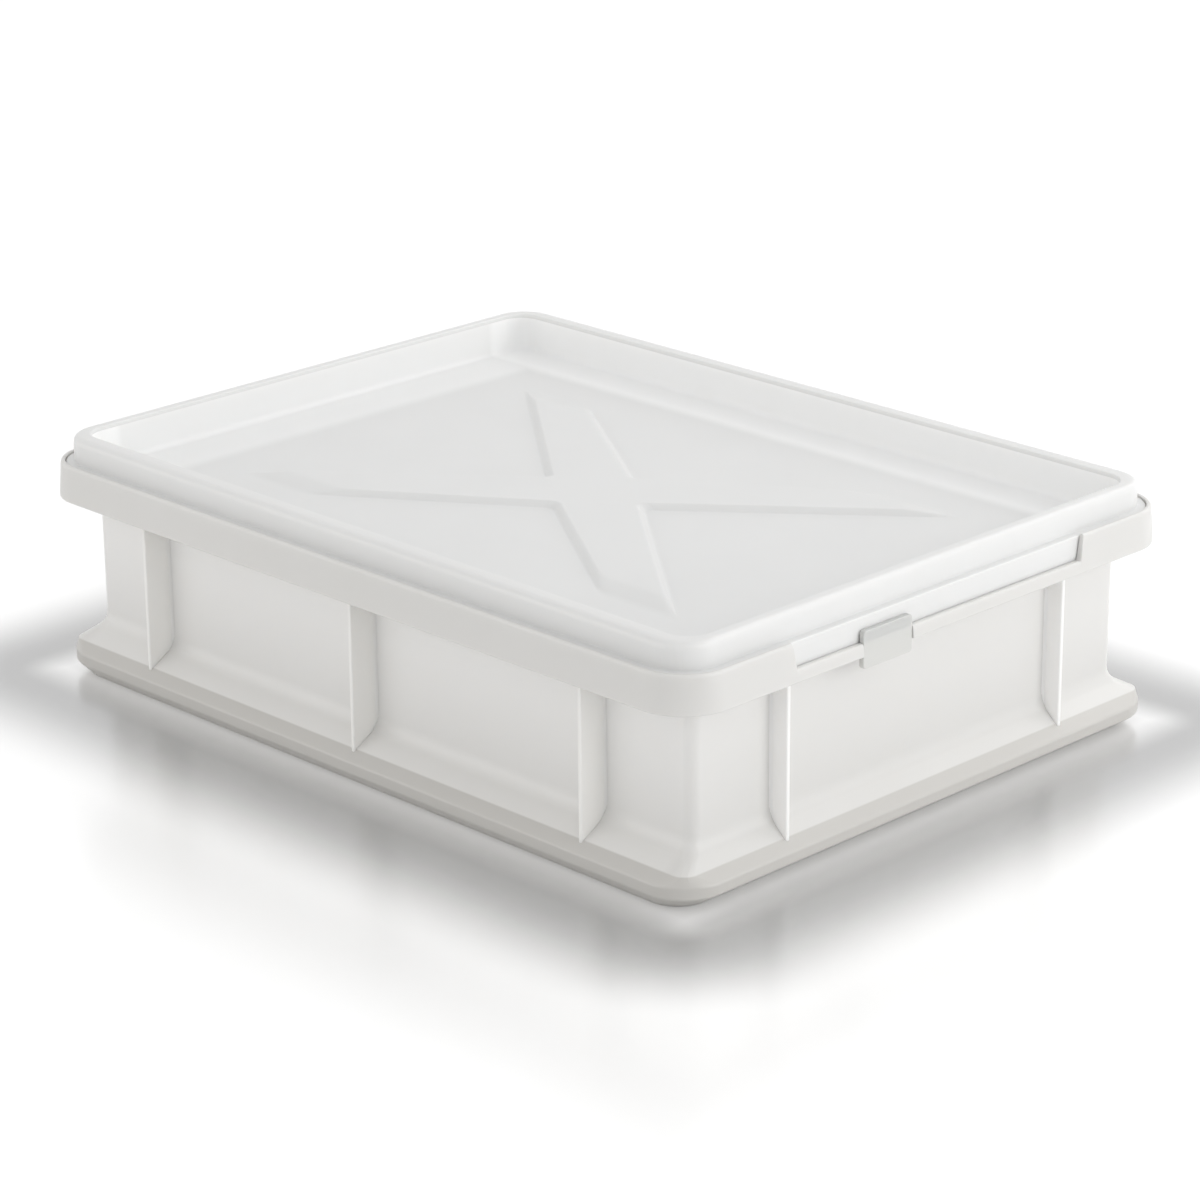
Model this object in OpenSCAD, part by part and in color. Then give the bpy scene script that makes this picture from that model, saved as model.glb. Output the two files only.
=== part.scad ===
// Dough proofing container, 400 x 300 mm footprint, with its drop-in lid.
// Two mouldings: an open tub with a stepped-out collar, and a lid that stands inside the collar.
// The origin is at the centre of the footprint, on the surface that the tub stands on.

/* [Container] */
// Length over the collar
body_l = 400; // [320:1:600]
// Width over the collar
body_w = 300; // [240:1:400]
// Height from the table to the top of the lip
body_h = 100; // [80:1:150]
// Corner radius of the collar, seen from above
collar_r = 23; // [20:0.5:30]
// Height of the collar band
collar_band = 16.5; // [14:0.5:20]
// Thickness of the collar at its foot
collar_t = 3.2; // [2.6:0.1:4]
// Lean of the collar's face, which is narrower at the top
collar_lean = 1.2; // [0.4:0.1:1.4]
// Thickness of the shoulder that joins the wall to the collar
shoulder_t = 2.5; // [2:0.1:3]
// Thickness of the walls
wall_t = 2.5; // [1.8:0.1:3]
// Inset of the short-side walls from the collar's face, the depth of the hand grips
grip_depth = 15.5; // [13:0.5:20]
// Inset of the long-side walls from the collar's face
side_inset = 20; // [15:0.5:22]
// Outside corner radius of the walls
wall_r = 5; // [4.5:0.5:12]
// Radius of the cove where the inside walls meet the floor
cove_r = 2; // [1:0.5:5]

/* [Base] */
// Thickness of the floor
floor_t = 2.5; // [2:0.1:4]
// Height of the hollow under the floor
under_h = 4; // [2:0.5:6]
// Width of the foot ring that touches the table
foot_w = 4; // [3:0.5:5]
// Inset of the foot from the collar's face on the short sides
foot_in_short = 12; // [11:0.5:15]
// Inset of the foot from the collar's face on the long sides
foot_in_long = 8.5; // [7.5:0.5:11]
// Corner radius of the foot
foot_r = 14; // [12:0.5:18]
// Gap between the base flange and the collar of the tub below, when stacked
stack_gap = 0.1; // [0.1:0.05:0.8]
// Height of the middle of the base flange's edge above the table
flange_z = 8.8; // [7:0.1:10]
// Height of the flat edge of the base flange
flange_edge = 3.6; // [1.5:0.1:4.5]
// Height at which the flare meets the wall
flare_z = 22; // [18:0.5:26]

/* [Ribs] */
// Thickness of the upright ribs
rib_t = 2; // [1.5:0.1:3]
// Inset of the ribs' front edges from the collar's face
rib_inset = 7; // [6:0.5:9]
// Distance of the outer long-side ribs from the middle
rib_x = 135.5; // [100:0.5:140]
// Distance of the short-side ribs from the middle
rib_y = 84.5; // [80:0.5:95]

/* [Grip window] */
// Half the length of the lowered lip on each short side
window_half = 88; // [60:1:95]
// Depth of the lowered lip below the top of the tub
window_drop = 11; // [8:0.5:11.5]

/* [Lid] */
// Thickness of the lid's skins
lid_t = 1.8; // [1.5:0.1:1.9]
// Gap between the lid's skirt and the inside of the collar
lid_gap = 0.3; // [0.2:0.05:0.6]
// Depth of the ledge below the top of the lip
ledge_drop = 0.8; // [0.4:0.1:1.5]
// Width of the ledge round the raised tier
ledge_w = 3.7; // [3:0.1:4.5]
// Height of the lid's rim above the top of the tub
rim_rise = 10.8; // [8:0.1:14]
// Radius of the tier's outer top edge
rim_round = 3.6; // [2:0.1:3.6]
// Width of the rim on the short sides
rim_short = 5.6; // [5.5:0.1:7]
// Width of the rim on the long sides
rim_long = 8.3; // [7:0.1:10]
// Corner radius of the lid's tray
tray_r = 11; // [8:0.5:14]
// Depth of the tray from the rim to the panel
tray_depth = 18; // [14:0.5:20]

/* [Cross on the panel] */
// Height of the raised cross
cross_h = 2.3; // [1:0.1:3]
// Half length of the cross, along the lid
cross_x = 134; // [110:1:140]
// Half width of the cross, across the lid
cross_y = 86; // [70:1:90]
// Length of each arm's end
cross_end = 44; // [30:1:50]
// Half length of the hub, along the lid
hub_x = 30; // [24:1:40]
// Half width of the hub, across the lid
hub_y = 25; // [20:1:32]

/* [Tongue] */
// Width of the lid's tongue on each short side
tongue_w = 29; // [20:1:36]
// Distance of the tongue from the middle of the short side
tongue_off = 34; // [25:1:60]
// Thickness of the tongue
tongue_t = 2.5; // [2:0.1:2.5]
// Height of the tongue's root above the lowered lip
tongue_root = 5; // [3:0.5:6]
// Length of the tongue
tongue_len = 16; // [14:0.5:20]
// Gap between the tongue and the sides of its slot
tongue_gap = 0.8; // [0.4:0.1:1.5]

/* [Hidden] */
$fn = 96;
plastic_white = "#e6e7e5";
lid_white = "#e9ebeb";
// Overlap that joins pieces of one solid
lap = 0.5;
// Overrun of a cut past the face that it opens
over = 1;
// How far inside the wall the flare starts, so that the two cross cleanly
flare_tuck = 0.4;
hull_fn = 48;

collar_z = body_h - collar_band;
shoulder_z = collar_z + shoulder_t;
lip_round = collar_t - collar_lean;
wall_l = body_l - 2 * grip_depth;
wall_w = body_w - 2 * side_inset;
cove = min(cove_r, wall_r - wall_t - lap);
floor_z = under_h + floor_t;
flange_in = collar_t + stack_gap;
foot_l = body_l - 2 * foot_in_short;
foot_wd = body_w - 2 * foot_in_long;
window_z = body_h - window_drop;

skirt_in = collar_t + lid_gap;
ledge_z = body_h - ledge_drop;
tier_in = skirt_in + ledge_w;
tier_r = collar_r - tier_in;
rim_z = body_h + rim_rise;
panel_z = rim_z - tray_depth;
tray_l = body_l - 2 * (tier_in + rim_short);
tray_w = body_w - 2 * (tier_in + rim_long);
tongue_z = window_z + tongue_root;
slot_in = collar_t + lid_gap;

// Rounded rectangle from plain squares and circles, centred
module outline(l, w, r) {
    square([l - 2 * r, w], center = true);
    square([l, w - 2 * r], center = true);
    for (sx = [-1, 1], sy = [-1, 1])
        translate([sx * (l / 2 - r), sy * (w / 2 - r)]) circle(r);
}

// Slab with that outline between two heights
module slab(l, w, r, z0, z1) {
    translate([0, 0, z0]) linear_extrude(z1 - z0) outline(l, w, r);
}

// Carries a profile round a rounded rectangle: x points outwards from it, y points up
module around(l, w, r) {
    for (turn = [0, 180]) rotate(turn) {
        translate([l / 2, w / 2 - r]) rotate([90, 0, 0])
            linear_extrude(w - 2 * r) children();
        rotate(90) translate([w / 2, l / 2 - r]) rotate([90, 0, 0])
            linear_extrude(l - 2 * r) children();
        translate([l / 2 - r, w / 2 - r])
            rotate_extrude(angle = 90) translate([r, 0]) children();
        rotate(90) translate([w / 2 - r, l / 2 - r])
            rotate_extrude(angle = 90) translate([r, 0]) children();
    }
}

// Section of the collar: leaning face, rounded lip, upright inside
module collar_section() {
    polygon([[-collar_t, collar_z], [0, collar_z],
             [-collar_lean, body_h - lip_round], [-collar_t, body_h - lip_round]]);
    intersection() {
        translate([-collar_t, body_h - lip_round]) circle(lip_round);
        translate([-collar_t, body_h - lip_round]) square(lip_round + over);
    }
}

// Flange round the base: a flare down from the wall to the edge, then in to the foot
module base_flange() {
    hull() {
        slab(wall_l - 2 * flare_tuck, wall_w - 2 * flare_tuck, wall_r - flare_tuck,
             flare_z - lap, flare_z, $fn = hull_fn);
        slab(body_l - 2 * flange_in, body_w - 2 * flange_in, collar_r - flange_in,
             flange_z - flange_edge / 2, flange_z + flange_edge / 2, $fn = hull_fn);
        slab(foot_l, foot_wd, foot_r, 0, lap, $fn = hull_fn);
    }
}

// Upright ribs between the flare and the shoulder
module ribs() {
    long_run = body_w - 2 * rib_inset;
    short_run = body_l - 2 * rib_inset;
    rib_z = flange_z;
    rib_h = collar_z + lap - rib_z;
    for (x = [-rib_x, 0, rib_x])
        translate([x - rib_t / 2, -long_run / 2, rib_z]) cube([rib_t, long_run, rib_h]);
    for (y = [-rib_y, rib_y])
        translate([-short_run / 2, y - rib_t / 2, rib_z]) cube([short_run, rib_t, rib_h]);
}

// Lowered lip on a short side, and the slot that the lid's tongue hangs in
module grip_window() {
    translate([body_l / 2 - collar_t - lap, -window_half, window_z])
        cube([collar_t + lap + over, 2 * window_half, window_drop + over]);
    translate([body_l / 2 - slot_in, -tongue_off - tongue_w / 2 - tongue_gap, collar_z - over])
        cube([slot_in + over, tongue_w + 2 * tongue_gap, collar_band + 2 * over]);
}

module container() {
    inner_l = wall_l - 2 * wall_t;
    inner_w = wall_w - 2 * wall_t;
    inner_r = wall_r - wall_t;
    color(plastic_white) difference() {
        union() {
            base_flange();
            slab(wall_l, wall_w, wall_r, under_h, shoulder_z);
            slab(body_l - 2 * collar_t + lap, body_w - 2 * collar_t + lap,
                 collar_r - collar_t + lap / 2, collar_z, shoulder_z);
            around(body_l, body_w, collar_r) collar_section();
            ribs();
        }
        difference() {
            slab(inner_l, inner_w, inner_r, floor_z, body_h + over);
            around(inner_l, inner_w, inner_r) difference() {
                translate([-cove, floor_z - over]) square([cove + over, cove + over]);
                translate([-cove, floor_z + cove]) circle(cove);
            }
        }
        slab(foot_l - 2 * foot_w, foot_wd - 2 * foot_w, foot_r - foot_w, -over, under_h);
        for (turn = [0, 180]) rotate(turn) grip_window();
    }
}

// Outline of the cross in plan, counter-clockwise
function cross_points() = let (ei = cross_x - cross_end)
    [[hub_x, 0], [cross_x, cross_y], [ei, cross_y], [0, hub_y], [-ei, cross_y], [-cross_x, cross_y],
     [-hub_x, 0], [-cross_x, -cross_y], [-ei, -cross_y], [0, -hub_y], [ei, -cross_y],
     [cross_x, -cross_y]];

// Inward normal of the edge from a to b
function inward(a, b) = [a.y - b.y, b.x - a.x] / norm(b - a);

// The same outline drawn in evenly by inset
function drawn_in(inset) = let (p = cross_points(), n = len(p))
    [for (i = [0:n - 1])
        let (before = inward(p[(i + n - 1) % n], p[i]),
             after = inward(p[i], p[(i + 1) % n]))
        p[i] + inset * (before + after) / (1 + before * after)];

// Raised cross between two heights
module raised_cross(inset, z0, z1) {
    translate([0, 0, z0]) linear_extrude(z1 - z0) polygon(drawn_in(inset));
}

// Outer form of the lid: skirt, ledge and the rounded tier above it
module lid_form() {
    slab(body_l - 2 * skirt_in, body_w - 2 * skirt_in, collar_r - skirt_in, shoulder_z, ledge_z);
    tier_l = body_l - 2 * tier_in;
    tier_w = body_w - 2 * tier_in;
    slab(tier_l, tier_w, tier_r, shoulder_z, rim_z - rim_round);
    slab(tier_l - 2 * rim_round, tier_w - 2 * rim_round, tier_r - rim_round, shoulder_z, rim_z);
    around(tier_l, tier_w, tier_r) intersection() {
        translate([-rim_round, rim_z - rim_round]) circle(rim_round);
        translate([-rim_round, rim_z - rim_round]) square(rim_round);
    }
}

// Hollow under the lid: inside the skirt, and up inside the rim
module lid_hollow() {
    skirt_cut = skirt_in + lid_t;
    tier_cut = tier_in + lid_t;
    tray_wall = 2 * lid_t;
    difference() {
        union() {
            slab(body_l - 2 * skirt_cut, body_w - 2 * skirt_cut, collar_r - skirt_cut,
                 shoulder_z - over, ledge_z - lid_t);
            slab(body_l - 2 * tier_cut, body_w - 2 * tier_cut, collar_r - tier_cut,
                 shoulder_z - over, rim_z - rim_round);
        }
        slab(tray_l + tray_wall, tray_w + tray_wall, tray_r + lid_t, panel_z - lid_t, rim_z);
    }
}

// Tongue that hangs from the skirt into the slot in the collar
module tongue() {
    face_x = body_l / 2 - collar_lean / 2;
    hang_x = face_x - tongue_t;
    translate([hang_x, -tongue_off - tongue_w / 2, tongue_z - tongue_len])
        cube([tongue_t, tongue_w, tongue_len]);
    translate([body_l / 2 - skirt_in - lid_t, -tongue_off - tongue_w / 2, window_z])
        cube([face_x - body_l / 2 + skirt_in + lid_t, tongue_w, tongue_root]);
}

module lid() {
    color(lid_white) {
        difference() {
            union() {
                difference() {
                    lid_form();
                    slab(tray_l, tray_w, tray_r, panel_z, rim_z + over);
                    lid_hollow();
                }
                raised_cross(0, panel_z - lap, panel_z + cross_h);
            }
            raised_cross(lid_t, panel_z - lid_t - over, panel_z + cross_h - lid_t);
        }
        for (turn = [0, 180]) rotate(turn) tongue();
    }
}

container();
lid();
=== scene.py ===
import math

import bpy
import numpy as np
from mathutils import Matrix


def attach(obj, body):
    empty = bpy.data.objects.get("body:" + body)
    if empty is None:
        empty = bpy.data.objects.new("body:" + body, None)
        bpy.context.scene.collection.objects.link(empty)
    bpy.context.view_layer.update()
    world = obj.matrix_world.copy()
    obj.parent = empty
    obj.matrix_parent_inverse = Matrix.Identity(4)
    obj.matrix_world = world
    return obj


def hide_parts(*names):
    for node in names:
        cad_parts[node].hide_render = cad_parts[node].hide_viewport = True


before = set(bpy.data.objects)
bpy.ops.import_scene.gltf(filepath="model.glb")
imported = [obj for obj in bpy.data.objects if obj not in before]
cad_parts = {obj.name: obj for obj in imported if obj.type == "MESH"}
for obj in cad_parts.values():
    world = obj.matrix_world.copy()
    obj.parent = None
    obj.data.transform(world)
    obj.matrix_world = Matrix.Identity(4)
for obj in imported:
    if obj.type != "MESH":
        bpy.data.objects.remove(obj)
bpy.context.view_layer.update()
scene = bpy.context.scene
millimetre = 0.001
creaseAngle = math.radians(40)  # edges sharper than this are shaded as edges


def linearColour(hexText):
    # sRGB hex to the linear values that shader sockets take
    values = [int(hexText[i:i + 2], 16) / 255 for i in (1, 3, 5)]
    return [v / 12.92 if v <= 0.04045 else ((v + 0.055) / 1.055) ** 2.4 for v in values] + [1.0]


def addNode(tree, kind, settings=None, inputs=None):
    # a node with its settings, and its inputs as values or as sockets to link
    node = tree.nodes.new(kind)
    for key, value in (settings or {}).items():
        setattr(node, key, value)
    for key, value in (inputs or {}).items():
        if isinstance(value, bpy.types.NodeSocket):
            tree.links.new(value, node.inputs[key])
        else:
            node.inputs[key].default_value = value
    return node


def calculate(tree, operation, first, second=0.0):
    # one step of arithmetic
    return addNode(tree, "ShaderNodeMath", {"operation": operation}, {0: first, 1: second}).outputs[0]


def ramp(tree, value, low, high, least=0.0, most=1.0, smooth=False):
    # goes from least to most while the value goes from low to high
    return addNode(tree, "ShaderNodeMapRange", {
        "interpolation_type": "SMOOTHSTEP" if smooth else "LINEAR"}, {
        "Value": value, "From Min": low, "From Max": high, "To Min": least, "To Max": most,
    }).outputs["Result"]


def makeObject(name, points, faces, material):
    # points in mm become a smooth-shaded object at the origin
    mesh = bpy.data.meshes.new(name)
    mesh.from_pydata((np.asarray(points) * millimetre).tolist(), [], faces)
    mesh.validate()
    mesh.polygons.foreach_set("use_smooth", np.ones(len(mesh.polygons), bool))
    mesh.set_sharp_from_angle(angle=creaseAngle)
    mesh.materials.append(material)
    piece = bpy.data.objects.new(name, mesh)
    scene.collection.objects.link(piece)
    weighted = piece.modifiers.new("evenShading", "WEIGHTED_NORMAL")
    weighted.keep_sharp = True
    return piece


def gridFaces(rows, columns):
    # quads of a grid whose columns close on themselves, row after row
    row = np.arange(rows - 1)[:, None] * columns
    column = np.arange(columns)[None, :]
    after = (column + 1) % columns
    quads = np.stack([row + column, row + after, row + columns + after, row + columns + column], -1)
    return quads.reshape(-1, 4)


def station(size, height, bend, inset=0.0):
    # one bend of a profile: half length, half width, corner radius, height, reach of its rounding
    return [size[0] - inset, size[1] - inset, size[2] - inset, height, bend]


def roundedProfile(rows, steps):
    # Each bend of a profile becomes a quadratic curve that leaves its two sides at the bend's
    # rounding distance. The last column of a row is that distance, the one before it the height.
    rows = np.asarray(rows, float)
    t = np.linspace(0, 1, steps)[:, None]
    out = [rows[:1, :-1]]
    for before, bend, after in zip(rows[:-2], rows[1:-1], rows[2:]):
        reach = bend[-1]
        if reach == 0:
            out.append(bend[None, :-1])
            continue
        ends = []
        for other in (before, after):
            span = math.hypot(np.abs(other[:2] - bend[:2]).max(), other[-2] - bend[-2])
            ends.append(bend[:-1] + (other - bend)[:-1] * min(reach / span, 0.48))  # under half a side
        out.append((1 - t) ** 2 * ends[0] + 2 * t * (1 - t) * bend[:-1] + t ** 2 * ends[1])
    out.append(rows[-1:, :-1])
    return np.vstack(out)


def ringsAround(stations, alongX, alongY, steps):
    # Rounded rectangle at each station, counter-clockwise from the middle of +X: fixed places along
    # the sides, and quarter circles of the station's radius at the corners.
    halfX, halfY, radius = (stations[:, i:i + 1] for i in range(3))
    quarter = np.linspace(0, math.pi / 2, steps)
    x, y = [], []
    for turn, (signX, signY) in enumerate(((1, 1), (-1, 1), (-1, -1), (1, -1))):
        angle = quarter + turn * math.pi / 2
        if turn % 2 == 0:
            x.append(signX * halfX + 0 * alongY)
            y.append(0 * halfX + signX * alongY)
        else:
            x.append(0 * halfX + signX * alongX)
            y.append(-signX * halfY + 0 * alongX)
        x.append(signX * (halfX - radius) + radius * np.cos(angle))
        y.append(signY * (halfY - radius) + radius * np.sin(angle))
    return np.hstack(x), np.hstack(y)


def smoothStep(value, low, high):
    # cubic that goes from 0 to 1 with level ends
    t = np.clip((value - low) / (high - low), 0, 1)
    return t * t * (3 - 2 * t)


print("stage: materials")

plastics = {
    # the glow colour is painted light on the thin walls, and the base colour is painted shade on the edge of
    # the base flange
    "container": {"colour": "#dad9d7", "cloud": "#d6d5d2", "roughness": 0.36, "glow": "#f8f7f5",
                  "base": "#c8c6c2"},
    # the ribs' colours are painted light: paler than the shell they stand on, the short ribs palest
    "longRib": {"colour": "#f6f5f2", "cloud": "#f2f1ee", "roughness": 0.36},
    "shortRib": {"colour": "#fdfcfa", "cloud": "#faf9f7", "roughness": 0.36},
    # the band colour is painted light on the border of the lid's tray and on its walls
    "lid": {"colour": "#e4e4e3", "cloud": "#e0e0df", "roughness": 0.36, "band": "#fafaf9"},
    # the tongue's colour is painted shade: darker than the lid it hangs from
    "tongue": {"colour": "#d2d2cf", "cloud": "#cfcfcc", "roughness": 0.36},
}

# what every moulded surface shares, sizes in metres
moulding = {
    "cloudSize": 0.06,
    "cloudDetail": 2.0,
    "grainSize": 0.0008,
    "grainDepth": 0.00002,
    "swellSize": 0.035,
    "swellDepth": 0.0004,
    "bumpStrength": 0.5,
    "smoother": 0.04,
    "rougher": 0.05,
    "index": 1.49,
    "lightEntering": 0.35,
    "lightReach": 0.004,
    "reachByColour": (1.0, 0.95, 0.9),
}

# heights and half lengths in metres between which painted light makes the container's walls paler, and below
# which painted shade makes the edge of the base flange darker
paintedWallLightAndShade = {
    "foot": 0.02,
    "top": 0.083,
    "footShare": 0.3,
    "collarFoot": 0.0834,
    "cornerStart": 0.179,
    "shortSide": 0.184,
    "shortSideShare": 0.4,
    "edgeTop": 0.0155,
    "edgeFull": 0.0148,
}

# along each axis, in metres: where the painted light on the lid's border starts, where it ends, and its
# share
paintedTrayLight = {
    "X": (0.158, 0.1875, 0.55),
    "Y": (0.112, 0.135, 1.0),
    "blend": 0.005,
    "rim": 0.109,
}


def mixedWith(tree, colour, hexText, share):
    # goes over to another colour by a share that is a socket
    mix = addNode(tree, "ShaderNodeMix", {"data_type": "RGBA"}, {"Factor": share})
    tree.links.new(colour, mix.inputs[6])
    mix.inputs[7].default_value = linearColour(hexText)
    return mix.outputs[2]


def paintWallLightAndShade(tree, place, colour, look, w):
    # Painted light: the walls are thin and let light through from inside, so a paler colour is painted
    # on them; its share rises with the height as far as the collar, and it is smaller on the short sides,
    # which the key light fills. Painted shade: the thick edge of the base flange is painted darker.
    parts = addNode(tree, "ShaderNodeSeparateXYZ", {}, {"Vector": place})
    up = parts.outputs["Z"]
    rise = ramp(tree, up, w["foot"], w["top"], w["footShare"], 1.0)
    below = calculate(tree, "LESS_THAN", up, w["collarFoot"])
    length = calculate(tree, "ABSOLUTE", parts.outputs["X"])
    less = ramp(tree, length, w["cornerStart"], w["shortSide"], 1.0, w["shortSideShare"])
    share = calculate(tree, "MULTIPLY", calculate(tree, "MULTIPLY", rise, below), less)
    colour = mixedWith(tree, colour, look["glow"], share)
    edge = ramp(tree, up, w["edgeTop"], w["edgeFull"], smooth=True)
    return mixedWith(tree, colour, look["base"], edge)


def paintTrayLight(tree, place, colour, look, t):
    # Painted light: light comes up past the edge of the tray, so the border of its panel and its walls
    # are painted paler, by the greater of two shares, one for the distance along each axis, inside the rim.
    parts = addNode(tree, "ShaderNodeSeparateXYZ", {}, {"Vector": place})
    inside = calculate(tree, "LESS_THAN", parts.outputs["Z"], t["rim"])
    shares = []
    for axis in "XY":
        middle, outer, most = t[axis]
        size = calculate(tree, "ABSOLUTE", parts.outputs[axis])
        shares.append(ramp(tree, size, middle - t["blend"], middle + t["blend"], 0.0, most, smooth=True))
        inside = calculate(tree, "MULTIPLY", inside, calculate(tree, "LESS_THAN", size, outer))
    border = calculate(tree, "MAXIMUM", *shares)
    return mixedWith(tree, colour, look["band"], calculate(tree, "MULTIPLY", border, inside))


def mouldedPolypropylene(name, look, m):
    # Natural polypropylene, injection moulded: milky, satin, with light that enters the skin a few mm,
    # faint flow clouds, a slow swell of the surface and a fine grain from the mould.
    material = bpy.data.materials.new(name)
    material.use_nodes = True
    tree = material.node_tree
    tree.nodes.clear()
    place = addNode(tree, "ShaderNodeTexCoord").outputs["Object"]
    clouds = addNode(tree, "ShaderNodeTexNoise", {}, {
        "Vector": place, "Scale": 1 / m["cloudSize"], "Detail": m["cloudDetail"],
        "Roughness": 0.5}).outputs["Fac"]
    mix = addNode(tree, "ShaderNodeMix", {"data_type": "RGBA"}, {"Factor": clouds})
    mix.inputs[6].default_value = linearColour(look["colour"])
    mix.inputs[7].default_value = linearColour(look["cloud"])
    colour = mix.outputs[2]
    if "glow" in look:
        colour = paintWallLightAndShade(tree, place, colour, look, paintedWallLightAndShade)
    if "band" in look:
        colour = paintTrayLight(tree, place, colour, look, paintedTrayLight)
    bumps = {}
    for size, depth in (("grainSize", "grainDepth"), ("swellSize", "swellDepth")):
        noise = addNode(tree, "ShaderNodeTexNoise", {}, {
            "Vector": place, "Scale": 1 / m[size], "Detail": 1.0})
        bump = addNode(tree, "ShaderNodeBump", {}, {
            "Height": noise.outputs["Fac"], "Distance": m[depth], "Strength": m["bumpStrength"], **bumps})
        bumps = {"Normal": bump.outputs["Normal"]}
    gloss = ramp(tree, clouds, 0.0, 1.0, look["roughness"] - m["smoother"], look["roughness"] + m["rougher"])
    shader = addNode(tree, "ShaderNodeBsdfPrincipled", {}, {
        "Base Color": colour, "Roughness": gloss, "IOR": m["index"],
        "Subsurface Weight": m["lightEntering"], "Subsurface Radius": m["reachByColour"],
        "Subsurface Scale": m["lightReach"], **bumps})
    addNode(tree, "ShaderNodeOutputMaterial", {}, {"Surface": shader.outputs[0]})
    return material


containerPlastic = mouldedPolypropylene("containerPolypropylene", plastics["container"], moulding)
longRibPaintedLightPlastic = mouldedPolypropylene("longRibPaintedLightPolypropylene", plastics["longRib"], moulding)
shortRibPaintedLightPlastic = mouldedPolypropylene("shortRibPaintedLightPolypropylene", plastics["shortRib"], moulding)
lidPlastic = mouldedPolypropylene("lidPolypropylene", plastics["lid"], moulding)
tonguePaintedShadePlastic = mouldedPolypropylene("tonguePaintedShadePolypropylene", plastics["tongue"], moulding)

print("stage: container")

# Sizes in mm, as in the CAD model. A size is a half length, a half width and a corner radius.
container = {
    "footSize": (188.0, 141.5, 14.0),
    "flangeSize": (196.7, 146.7, 19.7),
    "mitreSize": (191.7, 141.7, 6.0),
    "wallSize": (184.5, 130.0, 5.0),
    "collarSize": (200.0, 150.0, 23.0),
    "floorUnder": 4.0,
    "floorTop": 6.5,
    "flangeLow": 6.0,
    "flangeHigh": 10.8,
    "mitreHeight": 15.3,
    "flareTop": 22.0,
    "collarFoot": 83.5,
    "shoulderTop": 86.0,
    "lip": 100.0,
    "footWide": 4.0,
    "wallThick": 2.5,
    "collarThick": 3.2,
    "collarLean": 1.2,
    "collarKink": 3.0,  # height of the collar's upright foot, from which it leans
    "underFlat": 3.0,
    "floorFlat": 2.4,
    # roundings
    "underBend": 1.5,
    "footInnerBend": 0.6,
    "footOuterBend": 1.2,
    "flangeLowBend": 1.0,
    "flangeHighBend": 0.9,
    "flareBend": 5.0,
    "wallTopBend": 1.0,
    "collarFootBend": 0.5,
    "lipOuterBend": 2.0,
    "lipInnerBend": 0.5,
    "shoulderInnerBend": 0.8,
    "shoulderBend": 1.2,
    "cove": 2.0,
    # the lowered lip and the slot on the short sides
    "windowHalf": 88.0,
    "windowDrop": 11.0,
    "windowBlend": 1.2,
    "windowFrom": 5.0,  # above the collar's foot
    "slotMiddle": -34.0,
    "slotHalf": 14.8,
    "slotInset": 3.5,
    "slotFrom": 60.0,
    # how finely the shell is divided
    "bendSteps": 5,
    "cornerSteps": 20,
    "blendSteps": 9,
    "longSide": (165.0, 34),
    "shortSide": (120.0, 25),
    "slotLines": (-0.6, -0.02, 0.02, 0.6),
}


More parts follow.
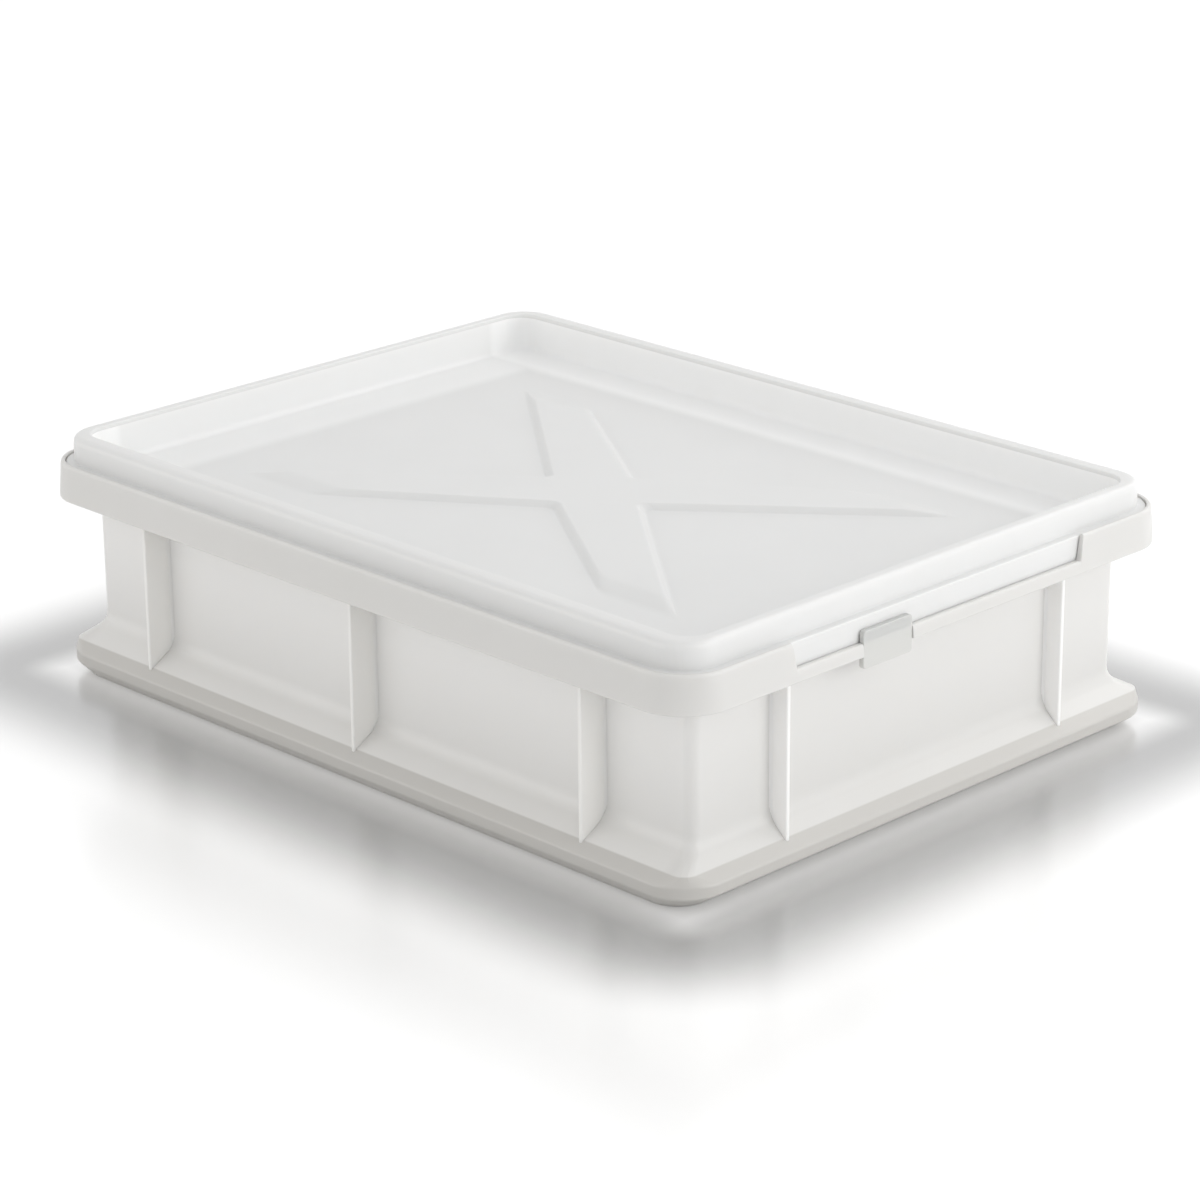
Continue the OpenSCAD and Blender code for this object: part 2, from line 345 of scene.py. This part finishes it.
def containerShell(c):
    # Closed shell carried round the footprint: under the floor, over the foot ring and the flange, up
    # the wall, round the collar and its lip, and down inside to the floor.
    wall, thick, collar = c["wallSize"], c["wallThick"], c["collarSize"]
    lean, lip, kink, under = c["collarLean"], c["lip"], c["collarKink"], c["footWide"]
    band = lip - c["collarFoot"]
    profile = roundedProfile([
        station(c["footSize"], c["floorUnder"], 0, under + c["underFlat"]),
        station(c["footSize"], c["floorUnder"], c["underBend"], under),
        station(c["footSize"], 0, c["footInnerBend"], under),
        station(c["footSize"], 0, c["footOuterBend"]),
        station(c["flangeSize"], c["flangeLow"], c["flangeLowBend"]),
        station(c["flangeSize"], c["flangeHigh"], c["flangeHighBend"]),
        station(c["mitreSize"], c["mitreHeight"], 0),
        station(wall, c["flareTop"], c["flareBend"]),
        station(wall, c["collarFoot"], c["wallTopBend"]),
        station(collar, c["collarFoot"], c["collarFootBend"]),
        station(collar, c["collarFoot"] + kink, 0, lean * kink / band),
        station(collar, lip, c["lipOuterBend"], lean),
        station(collar, lip, c["lipInnerBend"], c["collarThick"]),
        station(collar, c["shoulderTop"], c["shoulderInnerBend"], c["collarThick"]),
        station(wall, c["shoulderTop"], c["shoulderBend"], thick),
        station(wall, c["floorTop"], c["cove"], thick),
        station(wall, c["floorTop"], 0, thick + c["floorFlat"]),
    ], c["bendSteps"])
    window, blend = c["windowHalf"], c["windowBlend"]
    slot, slotAt, lines = c["slotHalf"], c["slotMiddle"], np.array(c["slotLines"])
    (longEnd, longSteps), (shortEnd, shortSteps) = c["longSide"], c["shortSide"]
    edge = np.linspace(-blend, blend, c["blendSteps"])
    alongY = np.unique(np.concatenate([
        np.linspace(-shortEnd, shortEnd, shortSteps), window + edge, -window + edge,
        slotAt - slot + lines, slotAt + slot + lines]))
    alongX = np.linspace(-longEnd, longEnd, longSteps)
    x, y = ringsAround(profile, alongX, alongY, c["cornerSteps"])
    z = profile[:, 3:4] + 0 * x

    # the lowered lip: what stands above the collar's foot on a short side sinks, and its outer face
    # moves out with it by as much as the collar leans
    onEnd = np.abs(x) > wall[0] + 1
    drop = c["windowDrop"] * (1 - smoothStep(np.abs(y), window - blend, window + blend)) * onEnd
    high = z > c["collarFoot"] + c["windowFrom"]
    outside = collar[0] - np.abs(x) < c["collarThick"] - 0.4
    x = np.where(high, x + np.sign(x) * (lean * drop / band * outside), x)
    z = np.where(high, z - drop, z)

    # the slot through the collar that the lid's tongue hangs in, turned about half round at -X
    slotFace = collar[0] - c["slotInset"]
    turned = np.where(x > 0, y, -y)
    inSlot = (np.abs(turned - slotAt) < slot) & (np.abs(x) > slotFace - 1) & (z > c["slotFrom"])
    x = np.where(inSlot, np.sign(x) * np.minimum(np.abs(x), slotFace), x)
    z = np.where(inSlot, np.minimum(z, c["shoulderTop"]), z)

    points = np.stack([x, y, z], -1).reshape(-1, 3)
    rows, columns = x.shape
    faces = gridFaces(rows, columns).tolist()
    faces.append(list(range(columns))[::-1])  # under the floor
    faces.append(list(range((rows - 1) * columns, rows * columns)))  # the floor
    return points, faces


ribs = {
    "thick": 2.0,
    "inset": 7.0,
    "longSide": (-135.5, 0.0, 135.5),
    "shortSide": (-84.5, 84.5),
    "low": 8.0,
    "high": 84.2,
    "edgeRound": 0.7,
    "rootFillet": 1.2,
    "rootDepth": 1.0,
    "bendSteps": 5,
}


def ribPlates(c, r, onShort):
    # Upright plates: a plan outline with a rounded front edge and a fillet at the wall, carried upwards.
    bend = np.linspace(0, math.pi / 2, r["bendSteps"])
    half, nose = r["thick"] / 2, r["edgeRound"]
    root = r["rootFillet"]
    points, faces = [], []
    for sign, along in [(s, a) for s in (1, -1) for a in r["shortSide" if onShort else "longSide"]]:
        wall = c["wallSize"][0 if onShort else 1]
        front = c["collarSize"][0 if onShort else 1] - r["inset"]
        out = np.concatenate([
            [wall - r["rootDepth"]], wall + root - root * np.cos(bend),
            front - nose + nose * np.sin(bend)])
        side = np.concatenate([
            [half + root], half + root - root * np.sin(bend),
            half - nose + nose * np.cos(bend)])
        out = np.concatenate([out, out[::-1]])
        side = np.concatenate([side, -side[::-1]])
        heights = np.array([r["low"], r["high"]])[:, None]
        across = np.stack([0 * heights + out * sign, along + 0 * heights + side * sign], -1)
        if not onShort:
            across = np.stack([along - (across[..., 1] - along), across[..., 0]], -1)
        ring = np.concatenate([across, heights[..., None] + 0 * across[..., :1]], -1)
        # the outline runs clockwise seen from above, so its faces are turned to point outwards
        count, start = len(out), sum(len(p) for p in points)
        points.append(ring.reshape(-1, 3))
        quads = (gridFaces(2, count)[:, ::-1] + start).tolist()
        faces += quads + [[start + i for i in range(count)]]
        faces += [[start + count + i for i in range(count)][::-1]]
    return np.vstack(points), faces


containerPiece = makeObject("containerShell", *containerShell(container), containerPlastic)
longRibs = makeObject("containerRibs_long", *ribPlates(container, ribs, False), longRibPaintedLightPlastic)
shortRibs = makeObject("containerRibs_short", *ribPlates(container, ribs, True), shortRibPaintedLightPlastic)

print("stage: lid")

cross = {
    "armX": 134.0,
    "armY": 86.0,
    "armEnd": 44.0,
    "hubX": 30.0,
    "hubY": 25.0,
    "height": 2.3,
    "slope": 3.0,
    "ramp": 10.0,
    "cornerRound": 5.0,
    "cornerSteps": 7,
    "sideSteps": 10,
    # share of the slope climbed and share of the height, from the top down
    "climb": [(1.3, 1.0), (1.12, 0.985), (0.98, 0.93), (0.85, 0.82), (0.15, 0.16), (0.02, 0.06),
              (-0.12, 0.01), (-0.3, 0.0)],
}


def crossOutline(c, share):
    # Outline of the cross, drawn in by a share of its slopes: each side moves along its normal, the
    # corners are where neighbouring sides meet, and each corner becomes a quadratic curve.
    endX = c["armX"] - c["armEnd"]
    corners = np.array([[c["hubX"], 0], [c["armX"], c["armY"]], [endX, c["armY"]], [0, c["hubY"]]])
    corners = np.vstack([corners, (corners * [-1, 1])[[2, 1, 0]]])
    corners = np.vstack([corners, (corners * [1, -1])[[5, 4, 3, 2, 1]]])
    run = np.roll(corners, -1, 0) - corners
    normal = np.stack([-run[:, 1], run[:, 0]], -1) / np.linalg.norm(run, axis=1, keepdims=True)
    inset = share * np.where(np.abs(run[:, 1]) < 1e-6, c["ramp"], c["slope"])
    before, insetBefore = np.roll(normal, 1, 0), np.roll(inset, 1)
    turn = before[:, 0] * normal[:, 1] - before[:, 1] * normal[:, 0]
    moved = np.stack([insetBefore * normal[:, 1] - inset * before[:, 1],
                      inset * before[:, 0] - insetBefore * normal[:, 0]], -1) / turn[:, None]
    sharp = corners + moved
    reach = c["cornerRound"]
    t = np.linspace(0, 1, c["cornerSteps"])[:, None]
    out = []
    for i, bend in enumerate(sharp):
        ends = []
        for other in (sharp[i - 1], sharp[(i + 1) % len(sharp)]):
            ends.append(bend + (other - bend) * reach / np.linalg.norm(other - bend))
        out.append((1 - t) ** 2 * ends[0] + 2 * t * (1 - t) * bend + t ** 2 * ends[1])
        after = sharp[(i + 1) % len(sharp)]
        span = np.linalg.norm(after - bend)
        between = np.linspace(reach, span - reach, c["sideSteps"])[1:-1, None] / span
        out.append(bend + (after - bend) * between)
    return np.vstack(out)


def reachOf(outline, angle):
    # distance from the middle to the outline at each angle
    own = np.arctan2(outline[:, 1], outline[:, 0]) % (2 * math.pi)
    order = np.argsort(own)
    return np.interp(angle, own[order], np.linalg.norm(outline, axis=1)[order], period=2 * math.pi)


def rectangleReach(size, angle):
    # Distance from the middle to a rounded rectangle at each angle: to its straight sides, or where
    # the ray passes beyond them at a corner, to the corner's circle.
    halfX, halfY, radius = size
    c, s = np.abs(np.cos(angle)), np.abs(np.sin(angle))
    straight = np.minimum(halfX / np.maximum(c, 1e-9), halfY / np.maximum(s, 1e-9))
    middleX, middleY = halfX - radius, halfY - radius
    along = c * middleX + s * middleY
    inside = np.maximum(along ** 2 - middleX ** 2 - middleY ** 2 + radius ** 2, 0)
    arc = along + np.sqrt(inside)
    inCorner = (straight * c > middleX) & (straight * s > middleY)
    return np.where(inCorner, arc, straight)


lid = {
    "traySize": (187.2, 134.5, 11.0),
    "tierSize": (192.8, 142.8, 15.8),
    "skirtSize": (196.5, 146.5, 19.5),
    "skirtFoot": 86.0,
    "panel": 92.8,
    "ledge": 99.2,
    "rimTop": 110.8,
    "skin": 1.8,
    "trayDraft": 0.5,
    "panelMargin": 9.0,
    # roundings
    "panelFillet": 3.0,
    "rimInnerRound": 0.9,
    "rimRound": 3.6,
    "tierFillet": 0.7,
    "ledgeRound": 0.6,
    "skirtRound": 0.4,
    "skirtTopFillet": 0.8,
    "underRound": 0.5,
    # how finely the shell is divided
    "bendSteps": 5,
    "cornerSteps": 13,
}


def lidShell(p, c):
    # Closed shell in rings round the middle, each point given by an angle and a ring: out over the
    # cross, the tray, the rim and the skirt, and back in along the underside.
    skin, tray, draft, margin = p["skin"], p["traySize"], p["trayDraft"], p["panelMargin"]
    tier, skirt, under = p["tierSize"], p["skirtSize"], p["underRound"]
    rimUnder = p["rimTop"] - p["rimRound"]
    over = roundedProfile([
        station(tray, p["panel"], 0, margin),
        station(tray, p["panel"], p["panelFillet"], draft),
        station(tray, p["rimTop"], p["rimInnerRound"]),
        station(tier, p["rimTop"], p["rimRound"]),
        station(tier, p["ledge"], p["tierFillet"]),
        station(skirt, p["ledge"], p["ledgeRound"]),
        station(skirt, p["skirtFoot"], p["skirtRound"]),
        station(skirt, p["skirtFoot"], p["skirtRound"], skin),
        station(skirt, p["ledge"] - skin, p["skirtTopFillet"], skin),
        station(tier, p["ledge"] - skin, under, skin),
        station(tier, rimUnder, under, skin),
        station(tray, rimUnder, under, -skin),
        station(tray, p["panel"] - skin, p["panelFillet"] + 0.8, -skin + draft),
        station(tray, p["panel"] - skin, 0, margin),
    ], p["bendSteps"])

    # angles at which any outline has a corner point
    rises = [rise for _, rise in c["climb"]]
    outlines = [crossOutline(c, share) for share, _ in c["climb"]]
    angles = [np.arctan2(o[:, 1], o[:, 0]) for o in outlines]
    bend = np.linspace(0, math.pi / 2, p["cornerSteps"])
    for halfX, halfY, radius in over[[0, len(over) // 2], :3]:
        arcX = halfX - radius + radius * np.cos(bend)
        arcY = halfY - radius + radius * np.sin(bend)
        for turnX, turnY in ((1, 1), (-1, 1), (-1, -1), (1, -1)):
            angles.append(np.arctan2(arcY * turnY, arcX * turnX))
    angle = np.unique((np.concatenate(angles) % (2 * math.pi)).round(4))

    crossReach = [reachOf(outline, angle) for outline in outlines]
    reach = np.array(crossReach + [rectangleReach(row[:3], angle) for row in over] + crossReach[::-1])
    height = [p["panel"] + c["height"] * rise for rise in rises] + list(over[:, 3])
    height += [p["panel"] - skin + c["height"] * rise for rise in rises[::-1]]
    points = np.stack([reach * np.cos(angle), reach * np.sin(angle),
                       np.array(height)[:, None] + 0 * reach], -1)
    rows, columns = reach.shape
    middle = [[0, 0, height[0]], [0, 0, height[-1]]]
    points = np.vstack([points.reshape(-1, 3), middle])
    faces = gridFaces(rows, columns)[:, ::-1].tolist()
    first, last = rows * columns, rows * columns + 1
    after = (np.arange(columns) + 1) % columns
    faces += [[first, i, int(after[i])] for i in range(columns)]
    base = (rows - 1) * columns
    faces += [[last, base + int(after[i]), base + i] for i in range(columns)]
    return points, faces


tongue = {
    "wide": 29.0,
    "tall": 16.0,
    "thick": 2.5,
    "top": 94.0,
    "outerFace": 199.4,
    "rootHigh": 5.0,
    "rootInner": 194.7,
    "rootBack": 0.4,  # how far the root stays behind the outer face, and inside the plate's edges
    "rootLower": 0.2,
    "rootNarrower": 0.5,
    "cornerRound": 1.5,
    "edgeRound": 0.5,
    "faceMargin": (3.0, 2.0),
    "bendSteps": 5,
    "cornerSteps": 8,
}


def tonguePlate(t, side):
    # Tongue that hangs in the slot, and its root on the skirt: rounded rectangles seen from the end
    # of the container, carried outwards with a rounded edge.
    points, faces = [], []
    sign = 1 if side == "right" else -1
    outerFace, top, lower = t["outerFace"], t["top"], t["rootLower"]
    blocks = [
        (outerFace - t["thick"], outerFace, top - t["tall"], top, 0.0),
        (t["rootInner"], outerFace - t["rootBack"], top - t["rootHigh"] + lower, top - lower,
         t["rootNarrower"]),
    ]
    for inner, outer, low, high, narrower in blocks:
        halfY, halfZ = t["wide"] / 2 - narrower, (high - low) / 2
        edge, corner = t["edgeRound"], min(t["cornerRound"], halfZ - 0.2)
        faceSize = halfY - t["faceMargin"][0], halfZ - t["faceMargin"][1], corner * 0.3
        rows = roundedProfile([
            station(faceSize, inner, 0),
            station((halfY, halfZ, corner), inner, edge),
            station((halfY, halfZ, corner), outer, edge),
            station(faceSize, outer, 0)], t["bendSteps"])
        y, z = ringsAround(rows, np.array([0.0]), np.array([0.0]), t["cornerSteps"])
        x = rows[:, 3:4] + 0 * y
        start = sum(len(q) for q in points)
        points.append(np.stack([sign * x, sign * (y + container["slotMiddle"]),
                                z + (low + high) / 2], -1).reshape(-1, 3))
        count = y.shape[1]
        faces += (gridFaces(len(rows), count) + start).tolist()
        faces.append([start + i for i in range(count)][::-1])
        faces.append([start + (len(rows) - 1) * count + i for i in range(count)])
    return np.vstack(points), faces


lidPiece = makeObject("lidShell", *lidShell(lid, cross), lidPlastic)
tonguePieces = [makeObject("lidTongue_" + side, *tonguePlate(tongue, side), tonguePaintedShadePlastic)
                for side in ("right", "left")]

for piece in (containerPiece, longRibs, shortRibs):
    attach(piece, "container")
for piece in (lidPiece, *tonguePieces):
    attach(piece, "lid")
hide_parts("container")
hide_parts("lid")

print("stage: floor and light")

# metres and watts
studio = {
    "floorSize": 14.0,
    "floorColour": "#f0f0f0",
    "floorGlow": 0.19,
    "floorGloss": 0.38,
    "floorRoughness": 0.22,
    # the painted shade on the floor fades between two distances from the base flange
    "shadeStart": 0.022,
    "shadeEnd": 0.083,
    "shadeLeast": 0.29,
    "shadeRound": 0.002,
    # close to the foot painted light lifts it again, from the first distance inwards to the second
    "edgeGlow": 0.6,
    "edgeGlowReach": (0.02, -0.008),
    "skyLevel": 0.78,
    "lampAim": (0.0, 0.0, 0.05),
    # place, size, power and colour of each lamp
    "keyLight": ((1.5, 0.4, 0.4), 1.0, 7.6),
    "fillLight": ((-0.9, -1.6, 0.25), 1.6, 7.2, (1.0, 0.975, 0.94)),
    "backLight": ((0.3, 1.0, 0.85), 0.8, 3.4),
}

floorMesh = bpy.data.meshes.new("floor")
reachOut = studio["floorSize"] / 2
floorMesh.from_pydata([(-reachOut, -reachOut, 0), (reachOut, -reachOut, 0),
                       (reachOut, reachOut, 0), (-reachOut, reachOut, 0)], [], [(0, 1, 2, 3)])
floor = bpy.data.objects.new("floor", floorMesh)
scene.collection.objects.link(floor)


def paintedFloorShade(tree, s):
    # Soft painted shade round the foot of the object, by the distance from the outline of its base flange:
    # the length of what the place on the floor has more than the flange along each axis.
    halfX, halfY = (v * millimetre for v in container["flangeSize"][:2])
    corner = s["shadeRound"]
    outward = addNode(tree, "ShaderNodeVectorMath", {"operation": "ABSOLUTE"}, {
        0: addNode(tree, "ShaderNodeTexCoord").outputs["Object"]})
    outward = addNode(tree, "ShaderNodeVectorMath", {"operation": "SUBTRACT"}, {
        0: outward.outputs[0], 1: (halfX - corner, halfY - corner, 0)})
    outward = addNode(tree, "ShaderNodeVectorMath", {"operation": "MAXIMUM"}, {0: outward.outputs[0]})
    apart = addNode(tree, "ShaderNodeVectorMath", {"operation": "LENGTH"}, {
        0: outward.outputs[0]}).outputs["Value"]
    away = ramp(tree, apart, corner + s["shadeStart"], corner + s["shadeEnd"], s["shadeLeast"], 1.0,
                smooth=True)
    # painted light beside the foot, for the light that the satin edge of the base throws back down
    glowStart, glowEnd = s["edgeGlowReach"]
    beside = ramp(tree, apart, corner + glowStart, corner + glowEnd, 0.0, s["edgeGlow"], smooth=True)
    return calculate(tree, "ADD", away, beside)


def acrylicSheet(name, s):
    # Pale acrylic sheet: diffuse white that keeps the shadow, a soft mirror of what stands on it, and
    # for the camera alone a glow that makes the sheet white where nothing shades it. The painted shade
    # round the foot darkens both its colour and its glow.
    material = bpy.data.materials.new(name)
    material.use_nodes = True
    tree = material.node_tree
    tree.nodes.clear()
    shade = paintedFloorShade(tree, s)
    tint = addNode(tree, "ShaderNodeVectorMath", {"operation": "SCALE"}, {
        0: linearColour(s["floorColour"])[:3], "Scale": shade})
    diffuse = addNode(tree, "ShaderNodeBsdfDiffuse", {}, {"Color": tint.outputs[0]})
    mirror = addNode(tree, "ShaderNodeBsdfAnisotropic", {}, {
        "Color": (1, 1, 1, 1), "Roughness": s["floorRoughness"]})
    body = addNode(tree, "ShaderNodeMixShader", {}, {
        0: s["floorGloss"], 1: diffuse.outputs[0], 2: mirror.outputs[0]})
    seen = addNode(tree, "ShaderNodeLightPath").outputs["Is Camera Ray"]
    glowLevel = calculate(tree, "MULTIPLY", calculate(tree, "MULTIPLY", shade, s["floorGlow"]), seen)
    glow = addNode(tree, "ShaderNodeEmission", {}, {"Strength": glowLevel})
    both = addNode(tree, "ShaderNodeAddShader", {}, {0: body.outputs[0], 1: glow.outputs[0]})
    addNode(tree, "ShaderNodeOutputMaterial", {}, {"Surface": both.outputs[0]})
    return material


floorMesh.materials.append(acrylicSheet("floorAcrylic", studio))

# an even sky for the light, and plain white wherever it is seen
world = bpy.data.worlds.new("studio")
scene.world = world
world.use_nodes = True
tree = world.node_tree
tree.nodes.clear()
path = addNode(tree, "ShaderNodeLightPath")
seen = calculate(tree, "MAXIMUM", path.outputs["Is Camera Ray"], path.outputs["Is Glossy Ray"])
seen = calculate(tree, "MAXIMUM", seen, path.outputs["Is Transmission Ray"])
level = ramp(tree, seen, 0.0, 1.0, studio["skyLevel"], 1.0)
sky = addNode(tree, "ShaderNodeBackground", {}, {"Color": (1, 1, 1, 1), "Strength": level})
addNode(tree, "ShaderNodeOutputWorld", {}, {"Surface": sky.outputs[0]})


def turnedTo(across, upward, back, place):
    # matrix whose columns are the three axes of an object and its place
    return Matrix([[across[i], upward[i], back[i], place[i]] for i in range(3)] + [[0, 0, 0, 1]])


def softbox(name, place, size, power, tint=(1, 1, 1)):
    # square lamp that faces the middle of the object
    lamp = bpy.data.lights.new(name, "AREA")
    lamp.size = size
    lamp.energy = power
    lamp.color = tint
    lampObject = bpy.data.objects.new(name, lamp)
    scene.collection.objects.link(lampObject)
    away = np.array(place, float) - np.array(studio["lampAim"])
    away /= np.linalg.norm(away)
    across = np.cross([0, 0, 1], away)
    across /= np.linalg.norm(across)
    lampObject.matrix_world = turnedTo(across, np.cross(away, across), away, place)


for name in ("keyLight", "fillLight", "backLight"):
    softbox(name, *studio[name])

print("stage: camera")

# Camera of the photograph, in metres and radians, for a square picture.
viewpoint = {
    "place": (1.141547, -1.121336, 0.62963),
    "yaw": 2.3639688,  # direction of view in plan, from +X
    "pitch": 0.350913,  # downwards
    "roll": -0.00846057,
    "lens": 116.375,
    "sensor": 36.0,
    "clip": (0.05, 40.0),
}

yaw, pitch, roll = viewpoint["yaw"], viewpoint["pitch"], viewpoint["roll"]
forward = np.array([math.cos(yaw) * math.cos(pitch), math.sin(yaw) * math.cos(pitch), -math.sin(pitch)])
sideways = np.array([math.sin(yaw), -math.cos(yaw), 0.0])
upright = np.cross(sideways, forward)
across = math.cos(roll) * sideways + math.sin(roll) * upright
upward = -math.sin(roll) * sideways + math.cos(roll) * upright
cameraData = bpy.data.cameras.new("photoCamera")
cameraData.lens = viewpoint["lens"]
cameraData.sensor_width = viewpoint["sensor"]
cameraData.clip_start, cameraData.clip_end = viewpoint["clip"]
camera = bpy.data.objects.new("photoCamera", cameraData)
scene.collection.objects.link(camera)
camera.matrix_world = turnedTo(across, upward, -forward, viewpoint["place"])
scene.camera = camera
scene.view_settings.view_transform = "Standard"

bpy.context.view_layer.update()
print("stage: done")
